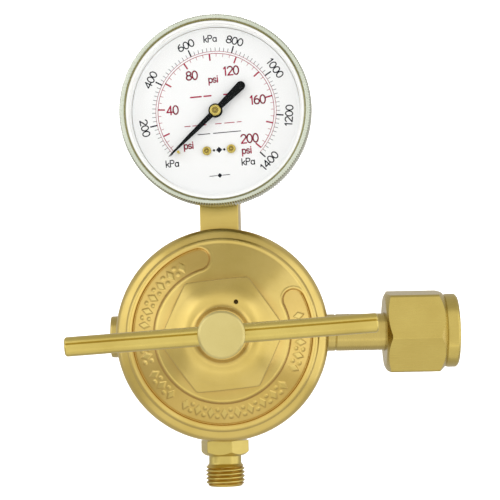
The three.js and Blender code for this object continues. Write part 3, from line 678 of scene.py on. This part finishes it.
def build_plug():
    """A round plug with a hexagonal key hole."""
    columns = 120
    theta = TAU * np.arange(columns) / columns
    outside = plain_rows([
        (0, -33, 0), (5, -33, 0), (5, -34.5, 0), (7.7, -34.5, 0.4), (7.7, -41.4, 0.9), (3.9, -41.4, 0),
    ], columns)
    key = hex_radius(theta, 6.4, 0, 3.6)
    depths = (-41.4, -41.2, -37.4, -37.0)
    hole = (np.array([key + 0.15, key, key, 0 * key]), np.array([np.full(columns, a) for a in depths]))
    plug = stacked("side_port_plug", [outside, hole], "X", (0, 0), LOOKS["turned_x"])
    claim(plug, "regulator", "turned_brass", "port_plug")


# ---------------------------------------------------------------- body
BLEND_VOXEL = 0.45
BOSSES = (("X", 10.5, 10, 34.2), ("Z", 10.5, 10, 34.2), ("Z", 10.5, -34.2, -10), ("X", 7.7, -34.2, -10))


def build_body():
    """The forging: hub, flange and four bosses, blended together with soft fillets."""
    hub = turned("hub", [
        (0, 14, 0), (5, 14, 0), (5, -5, 0), (6.2, -5, 0), (6.2, -8.5, 0), (26, -8.5, 0), (26, -11.8, 0),
        (34.0, -11.8, 0.4), (34.0, -7.2, 0.6), (31, -4.8, 1.5), (24.5, -0.5, 3), (23, 3, 3),
        (23, 19, 3), (20, 21.98, 3), (0, 21.98, 0),
    ], "Y", (0, 0), LOOKS["cast"], 128)
    bosses = []
    for k, (axis, r, low, high) in enumerate(BOSSES):
        bosses.append(turned(f"boss_{k}", [
            (0, low, 0), (r, low, 0.8), (r, high, 0.8), (0, high, 0),
        ], axis, (0, 0), LOOKS["cast"], 64))
    for boss in bosses:
        union = hub.modifiers.new("join", "BOOLEAN")
        union.operation = "UNION"
        union.solver = "EXACT"
        union.object = boss
    remesh = hub.modifiers.new("blend", "REMESH")
    remesh.mode = "VOXEL"
    remesh.voxel_size = BLEND_VOXEL * MM
    relax = hub.modifiers.new("relax", "SMOOTH")
    relax.factor = 0.5
    relax.iterations = 7
    view = bpy.context.evaluated_depsgraph_get()
    mesh = bpy.data.meshes.new_from_object(hub.evaluated_get(view))
    for obj in (hub, *bosses):
        bpy.data.objects.remove(obj)
    mesh.materials.clear()
    body = finish_mesh("forged_body", mesh, LOOKS["cast"], 60)
    claim(body, "regulator", "cast_brass", "body")


def build_spring(name, node):
    """The CAD coil again, on its own copy of the mesh, riding on the regulator."""
    coil = bpy.data.objects.new(name, frame["nodes"][node].data.copy())
    bpy.context.scene.collection.objects.link(coil)
    claim(coil, "regulator", "spring_steel", node)
    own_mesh(coil)


def build_diaphragm():
    """A rim that stays clamped and a middle that lifts with its plate."""
    rim = turned("diaphragm_rim", [
        (15.7, -13.1, 0), (17, -13.1, 0.5), (20, -12.8, 0.8), (23, -12.8, 0.8), (26, -13.1, 0.5),
        (31.9, -13.1, 0), (31.9, -12.35, 0), (26, -12.35, 0.5), (23, -12.05, 0.8), (20, -12.05, 0.8),
        (17, -12.35, 0.5), (15.7, -12.35, 0),
    ], "Y", (0, 0), LOOKS["rubber"], 96, True)
    claim(rim, "regulator", "black_rubber", "diaphragm")
    middle = turned("diaphragm_middle", [
        (3.2, -13.1, 0), (15.4, -13.1, 0.1), (15.4, -12.35, 0.1), (3.2, -12.35, 0),
    ], "Y", (0, 0), LOOKS["rubber"], 64, True)
    claim(middle, "valve_train", "black_rubber")


# ---------------------------------------------------------------- gauge shell
def gauge_turned(name, corners, look, columns=128, closed=False, offset=(0, 0), dark=(0, 0)):
    centre = (offset[0], GAUGE_Z + offset[1])
    return turned(name, corners, "Y", centre, LOOKS[look], columns, closed, dark)


def build_socket():
    block = grown_box("gauge_stem", (14.3, 14.3, 17.6), (0, 0, 43.4), 0.5, LOOKS["turned_z"])
    claim_gauge(block, "regulator", "turned_brass", "gauge_socket")


def build_case():
    case = gauge_turned("gauge_housing", [
        (0, 9.8, 0), (31.4, 9.8, 0), (31.4, -13.2, 0), (33, -13.2, 0.2), (33, 7.6, 2.2), (30.4, 10.6, 1),
        (29.4, 10.6, 0.3), (28.9, 11, 0.3), (0, 11, 0),
    ], "cast", 160)
    claim_gauge(case, "regulator", "cast_brass", "gauge_case")
    plug = gauge_turned("pressure_relief_plug", [
        (0, 9.9, 0), (5.2, 9.9, 0), (5.2, 11.0, 0.2), (4.6, 11.35, 0.2), (0, 11.4, 0),
    ], "rubber", 48, offset=(0, 16))
    claim_gauge(plug, "regulator", "black_rubber", "blow_out_plug")


FLUTE_DEPTH = 0.42


def build_bezel():
    """The ring that holds the lens, with fine straight flutes round it."""
    teeth, per_tooth = 232, 6
    columns = teeth * per_tooth
    phase = np.arange(columns) % per_tooth / per_tooth
    flute = FLUTE_DEPTH * (0.5 - 0.5 * np.cos(TAU * phase))
    outline = soften([
        (32.6, -17.1, 0), (32.6, -17.4, 0.15), (33.1, -17.6, 0.2), (33.4, -18.0, 0.2), (34.1, -18.15, 0.3),
        (34.8, -17.9, 0.35), (35.29, -17.1, 0.35), (35.29, -8.7, 0.3), (34.6, -8, 0.3), (33.3, -8, 0),
        (33.3, -17.1, 0),
    ], True, 5)
    radius = np.repeat(outline[:, :1], columns, 1)
    along = np.repeat(outline[:, 1:], columns, 1)
    edge = np.clip((radius - 34.4) / 0.5, 0, 1)
    # Painted shade: the inner lip darkens towards the opening, and the flute valleys near the outer edge are
    # darker.
    tone = np.maximum(smooth((33.5 - radius) / 0.45), 0.55 * edge * flute / FLUTE_DEPTH)
    bezel = sweep("fluted_bezel", radius - edge * flute, along, "Y", (0, GAUGE_Z), LOOKS["bezel"],
                  closed=True, sharp=40, tone=tone)
    claim_gauge(bezel, "regulator", "plated_bezel", "gauge_bezel")
    lens = gauge_turned("gauge_window", [
        (0, -16.85, 0), (31.7, -16.85, 0.15), (31.7, -15.55, 0.15), (0, -15.55, 0),
    ], "lens", 128)
    claim_gauge(lens, "regulator", "lens_clear", "lens")
    liner = gauge_turned("dial_liner", [
        (31.1, -15.4, 0.1), (31.8, -15.45, 0.1), (31.85, -16.8, 0.1), (32.1, -17.0, 0.15), (32.9, -17.0, 0.1),
        (32.9, -13.5, 0), (31.4, -13.4, 0), (31.4, -11.8, 0), (31.1, -11.75, 0),
    ], "gasket", 128, True)
    claim_gauge(liner, "regulator", "seat_plastic", "lens_gasket")


# ---------------------------------------------------------------- dial and print
DIAL_FACE = -11.6
PRINT_LIFT = 0.03


def dial_point(x, z):
    """A point of the print, in the dial's own right and up directions, as a frame position."""
    c, s = math.cos(DIAL_TURN), math.sin(DIAL_TURN)
    return put(x * c - z * s, DIAL_FACE - PRINT_LIFT, x * s + z * c + GAUGE_Z)


class Print:
    """Flat printed strokes gathered into one thin mesh."""

    def __init__(self):
        self.points = []
        self.faces = []

    def patch(self, outline):
        start = len(self.points)
        self.points += [dial_point(x, z) for x, z in outline]
        self.faces.append(tuple(range(start, start + len(outline))))

    def stroke(self, path, width):
        """A line of even width with round ends and joints."""
        half = width / 2
        for (x0, z0), (x1, z1) in zip(path, path[1:]):
            along = math.atan2(z1 - z0, x1 - x0)
            outline = []
            for k in range(7):
                a = along + math.pi / 2 + math.pi * k / 6
                outline.append((x0 + half * math.cos(a), z0 + half * math.sin(a)))
            for k in range(7):
                a = along - math.pi / 2 + math.pi * k / 6
                outline.append((x1 + half * math.cos(a), z1 + half * math.sin(a)))
            self.patch(outline)

    def ring(self, radius, width, start, end):
        """An arc between two angles in degrees."""
        count = 180
        for k in range(count):
            a = math.radians(start + (end - start) * k / count)
            b = math.radians(start + (end - start) * (k + 1) / count)
            low, high = radius - width / 2, radius + width / 2
            self.patch([(low * math.cos(a), low * math.sin(a)), (high * math.cos(a), high * math.sin(a)),
                        (high * math.cos(b), high * math.sin(b)), (low * math.cos(b), low * math.sin(b))])

    def tick(self, angle, low, high, width):
        c, s = math.cos(math.radians(angle)), math.sin(math.radians(angle))
        half = width / 2
        self.patch([(low * c + half * s, low * s - half * c), (high * c + half * s, high * s - half * c),
                    (high * c - half * s, high * s + half * c), (low * c - half * s, low * s + half * c)])

    def placeholder(self, spans, z, width):
        """Plain bars where the real dial carries words."""
        for start, end in spans:
            self.stroke([(start, z), (end, z)], width)

    def lozenge(self, x, z, half_wide, half_tall):
        self.patch([(x - half_wide, z), (x, z - half_tall), (x + half_wide, z), (x, z + half_tall)])

    def build(self, name, look, slot):
        mesh = raw_mesh(name, self.points, self.faces)
        mesh.materials.append(LOOKS[look])
        obj = bpy.data.objects.new(name, mesh)
        bpy.context.scene.collection.objects.link(obj)
        claim_gauge(obj, "regulator", slot)


def arc(cx, cz, rx, rz, start, end, steps=14):
    turn = np.radians(np.linspace(start, end, steps + 1))
    return [(cx + rx * math.cos(t), cz + rz * math.sin(t)) for t in turn]


# Single-line characters in a box 1 high, each with its advance width.
GLYPHS = {
    "0": (0.62, [arc(0.3, 0.5, 0.26, 0.5, 0, 360, 24)]),
    "1": (0.4, [[(0.06, 0.8), (0.22, 1.0), (0.22, 0.0)]]),
    "2": (0.62, [arc(0.3, 0.74, 0.25, 0.26, 165, -35) + [(0.05, 0.0), (0.57, 0.0)]]),
    "4": (0.64, [[(0.44, 0.0), (0.44, 1.0), (0.03, 0.28), (0.6, 0.28)]]),
    "6": (0.62, [arc(0.3, 0.3, 0.25, 0.3, 0, 360, 22),
                 [(0.07, 0.42)] + arc(0.5, 0.5, 0.44, 0.5, 175, 110, 6)]),
    "8": (0.62, [arc(0.3, 0.26, 0.26, 0.26, 0, 360, 20), arc(0.3, 0.75, 0.22, 0.24, 0, 360, 20)]),
    "k": (0.52, [[(0.08, 0.0), (0.08, 1.0)], [(0.44, 0.62), (0.08, 0.28)], [(0.2, 0.4), (0.46, 0.0)]]),
    "P": (0.6, [[(0.08, 0.0), (0.08, 1.0), (0.34, 1.0)] + arc(0.34, 0.75, 0.2, 0.25, 90, -90, 10)
                + [(0.08, 0.5)]]),
    "a": (0.56, [arc(0.27, 0.31, 0.21, 0.31, 0, 360, 18), [(0.48, 0.62), (0.48, 0.0)]]),
    "p": (0.56, [[(0.08, 0.64), (0.08, -0.32)], arc(0.29, 0.31, 0.21, 0.31, 0, 360, 18)]),
    "s": (0.48, [arc(0.23, 0.47, 0.17, 0.155, 30, 270, 9) + arc(0.23, 0.16, 0.18, 0.155, 90, -150, 9)]),
    "i": (0.24, [[(0.1, 0.0), (0.1, 0.64)], [(0.1, 0.86), (0.1, 0.9)]]),
}


def letter(page, text, x, z, height, turn, width, stretch=1.0):
    """Writes text centred on a point of the dial, turned by an angle in degrees."""
    total = sum(GLYPHS[c][0] for c in text) * stretch
    cursor = -total / 2
    c, s = math.cos(math.radians(turn)), math.sin(math.radians(turn))
    for character in text:
        advance, strokes = GLYPHS[character]
        for path in strokes:
            placed = []
            for u, v in path:
                a = (cursor + u * stretch) * height
                b = (v - 0.5) * height
                placed.append((x + a * c - b * s, z + a * s + b * c))
            page.stroke(placed, width)
        cursor += advance * stretch


ZERO_ANGLE, KPA_END, PSI_END = 227.75, -47.75, -43.85
OUTER_R, INNER_R = 22.2, 21.4


def kpa_angle(value):
    return ZERO_ANGLE + (KPA_END - ZERO_ANGLE) * value / 1400


def psi_angle(value):
    return ZERO_ANGLE + (PSI_END - ZERO_ANGLE) * value / 200


def print_kpa(page):
    """The outer scale: 0 to 1400 kPa."""
    for value in range(40, 1401, 20):
        major = value % 200 == 0
        page.tick(kpa_angle(value), OUTER_R, 24.9 if major else 23.6, 0.5 if major else 0.17)
    for value in range(200, 1401, 200):
        angle = kpa_angle(value)
        x, z = 26.9 * math.cos(math.radians(angle)), 26.9 * math.sin(math.radians(angle))
        turn = angle - 90 if 0 <= angle <= 180 else angle + 90
        letter(page, str(value), x, z, 2.6, turn, 0.42, 1.33)
    for x, z in ((0, 27), (-17.6, -17.8), (10.3, -19.5)):
        letter(page, "kPa", x, z, 2.4, 0, 0.37, 1.25)
    page.placeholder([(-7.3, -2.9), (-1.6, 8.5)], -8.05, 0.3)
    page.placeholder([(-4.2, -1.6), (0.6, 3.2)], -23.7, 0.25)
    page.lozenge(-0.5, -23.7, 0.9, 0.9)
    for x, size in ((-1.9, 0.55), (0, 1.15), (1.9, 0.55)):
        page.lozenge(x, -14.3, size, size)


def print_psi(page):
    """The inner scale: 0 to 200 psi."""
    page.ring(INNER_R, 0.22, ZERO_ANGLE - 8, PSI_END)
    page.ring(OUTER_R, 0.16, ZERO_ANGLE - 8, KPA_END)
    for value in range(10, 201, 5):
        major = value % 20 == 0
        page.tick(psi_angle(value), 18.85 if major else 20.2, INNER_R, 0.55 if major else 0.17)
    for value in range(40, 201, 40):
        angle = math.radians(psi_angle(value))
        letter(page, str(value), 16 * math.cos(angle), 16 * math.sin(angle), 3.1, 0, 0.52, 1.15)
    for x, z in ((0, 12), (-11, -11.6), (10.15, -15.2)):
        letter(page, "psi", x, z, 2.6, 0, 0.46, 1.15)
    page.placeholder([(-8.9, -5), (-3.9, -1.4), (3.4, 5.2)], 5.9, 0.55)
    page.placeholder([(-11.9, -9.9), (-9, -4), (-0.6, 1.6), (2.8, 6.4), (7.4, 9)], -4.65, 0.3)


def build_dial():
    face = gauge_turned("dial_face", [
        (0, DIAL_FACE, 0), (30.2, DIAL_FACE, 0.3), (30.5, DIAL_FACE - 0.25, 0.2),
        (30.95, DIAL_FACE - 0.25, 0), (30.95, DIAL_FACE + 0.6, 0), (0, DIAL_FACE + 0.6, 0),
    ], "dial", 160)
    claim_gauge(face, "regulator", "dial_white", "dial")
    black = Print()
    print_kpa(black)
    black.build("dial_print_black", "ink_black", "black_paint")
    red = Print()
    print_psi(red)
    red.build("dial_print_red", "ink_red", "black_paint")
    for k, x in enumerate((-4.5, 4.5), 1):
        spot = dial_point(x, -14.3)
        centre = (spot.x / MM - AXIS_X, spot.z / MM)
        # Painted shade: the recessed ring of each screw head is darkened.
        screw = turned(f"dial_screw_head_{k}", [
            (0, -12.5, 0), (0.35, -12.45, 0.1), (0.45, -12.15, 0.05), (0.85, -12.15, 0.05),
            (0.95, -12.8, 0.1), (1.3, -12.7, 0.3), (1.65, -12.3, 0.3), (1.65, -11.8, 0), (0, -11.8, 0),
        ], "Y", centre, LOOKS["turned"], 40, dark=(0.3, 0.9))
        claim_gauge(screw, "regulator", "turned_brass", f"dial_screw_{k}")
    spot = dial_point(-14.8, -14)
    centre = (spot.x / MM - AXIS_X, spot.z / MM)
    pin = turned("pointer_stop", [
        (0, -14.8, 0), (0.5, -14.7, 0.15), (0.5, -11.7, 0), (0, -11.7, 0),
    ], "Y", centre, LOOKS["turned"], 24)
    claim_gauge(pin, "regulator", "turned_brass", "stop_pin")


# ---------------------------------------------------------------- pointer
POINTER_REST = math.radians(219.75) + DIAL_TURN
BLADE_FACES = (-13.9, -13.4)


def build_pointer():
    """A flat blade with a round eye and a round tail, and the hub pin that it sits on."""
    outline = [(24.1, 0.05), (22, 0.3), (14, 0.68), (2.4, 1.0)]
    outline += arc(0, 0, 2.6, 2.6, 23, 155, 18)
    outline += arc(-12.95, 0, 1.65, 1.65, 90, 270, 18)
    outline += arc(0, 0, 2.6, 2.6, 205, 337, 18)
    outline += [(2.4, -1.0), (14, -0.68), (22, -0.3), (24.1, -0.05)]
    c, s = math.cos(POINTER_REST), math.sin(POINTER_REST)
    points = [put(x * c - z * s, y, x * s + z * c + GAUGE_Z) for y in BLADE_FACES for x, z in outline]
    count = len(outline)
    faces = [range(count), range(2 * count - 1, count - 1, -1)]
    for k in range(count):
        after = (k + 1) % count
        faces.append((k, after, after + count, k + count))
    blade = finish_mesh("pointer_blade", raw_mesh("pointer_blade", points, faces), LOOKS["black"], 30)
    claim_gauge(blade, "pointer", "black_paint", "pointer")
    # Painted shade: the groove round the hub pin's middle is darkened.
    hub = gauge_turned("pointer_hub_pin", [
        (0, -15.2, 0), (0.5, -15.15, 0.2), (0.6, -14.75, 0.05), (1.1, -14.75, 0.05), (1.2, -15.15, 0.1),
        (1.7, -15.2, 0.2), (2.05, -14.8, 0.2), (2.05, -13.95, 0), (0, -13.95, 0),
    ], "turned", 48, dark=(0.3, 1.15))
    claim_gauge(hub, "pointer", "turned_brass", "pointer_hub")


# ---------------------------------------------------------------- stage
CAMERA = {"x": 3.32, "y": -600, "z": 0.06, "up": 2.984, "right": 0.707, "roll": 1.147, "lens": 116.0}


def build_camera():
    data = bpy.data.cameras.new("camera")
    data.lens = CAMERA["lens"]
    data.sensor_width = 36
    data.clip_end = 20
    camera = bpy.data.objects.new("camera", data)
    bpy.context.scene.collection.objects.link(camera)
    aim = (Matrix.Rotation(-math.radians(CAMERA["right"]), 4, "Z")
           @ Matrix.Rotation(math.pi / 2 + math.radians(CAMERA["up"]), 4, "X")
           @ Matrix.Rotation(-math.radians(CAMERA["roll"]), 4, "Z"))
    camera.matrix_world = Matrix.Translation(put(CAMERA["x"], CAMERA["y"], CAMERA["z"])) @ aim
    bpy.context.scene.camera = camera


def soft_light(name, size, place, target, brightness, colour=(1, 1, 1)):
    """A flat lamp: size and places in millimetres, brightness in watts per square metre and steradian."""
    data = bpy.data.lights.new(name, "AREA")
    data.shape = "RECTANGLE"
    data.size, data.size_y = size[0] * MM, size[1] * MM
    data.energy = brightness * math.pi * data.size * data.size_y
    data.color = colour
    light = bpy.data.objects.new(name, data)
    bpy.context.scene.collection.objects.link(light)
    light.location = put(*place)
    light.rotation_euler = (put(*target) - put(*place)).to_track_quat("-Z", "Y").to_euler()
    light.visible_camera = False


COOL = (0.97, 0.99, 1.1)


def build_stage():
    """A pale floor that curves up into a pale wall, and soft studio light."""
    white = coated("studio_white", (0.86, 0.86, 0.86), (0.87, 0.87, 0.87), (0.7, 0.8), 0.00001, 50)
    floor_z, bend, wall_y = -700, 400, 1400
    profile = [(-2600, floor_z), (wall_y - bend, floor_z)]
    for k in range(1, 13):
        a = math.radians(90 * k / 12)
        profile.append((wall_y - bend + bend * math.sin(a), floor_z + bend * (1 - math.cos(a))))
    profile.append((wall_y, 2600))
    points = [put(x, y, z) for y, z in profile for x in (-2600, 2600)]
    faces = [(2 * k, 2 * k + 1, 2 * k + 3, 2 * k + 2) for k in range(len(profile) - 1)]
    floor = finish_mesh("studio_floor", raw_mesh("studio_floor", points, faces), white, 60)
    floor.visible_glossy = False
    soft_light("right_box", (560, 1000), (620, -230, 110), (0, 0, 20), 0.78, COOL)
    soft_light("left_box", (450, 680), (-573, -262, 290), (0, 0, 20), 0.98, COOL)
    soft_light("right_strip", (200, 520), (600, 60, -60), (0, 0, 0), 0.85, COOL)
    soft_light("left_strip", (160, 420), (-600, 40, 60), (0, 0, 0), 1.1, COOL)
    soft_light("low_card", (1600, 700), (20, -230, -690), (0, 0, 20), 0.46)
    soft_light("front_card", (3400, 3400), (0, -1000, 100), (0, 0, 20), 0.54)
    soft_light("wall_wash", (2400, 600), (0, 700, 1300), (0, wall_y, 1000), 16)
    world = bpy.data.worlds.new("studio")
    bpy.context.scene.world = world
    world.use_nodes = True
    world.node_tree.nodes["Background"].inputs["Color"].default_value = (1, 0.97, 0.92, 1)
    world.node_tree.nodes["Background"].inputs["Strength"].default_value = 0.67
    bpy.context.scene.view_settings.view_transform = "Standard"


# ---------------------------------------------------------------- assembly
build_camera()
build_stage()
dress_cad_nodes()
build_bonnet()
build_screw()
build_bar()
build_nut()
build_nipple()
build_outlet()
build_plug()
build_body()
build_spring("pressure_spring", "main_spring")
build_spring("poppet_return_spring", "poppet_spring")
build_diaphragm()
build_socket()
build_case()
build_bezel()
build_dial()
build_pointer()
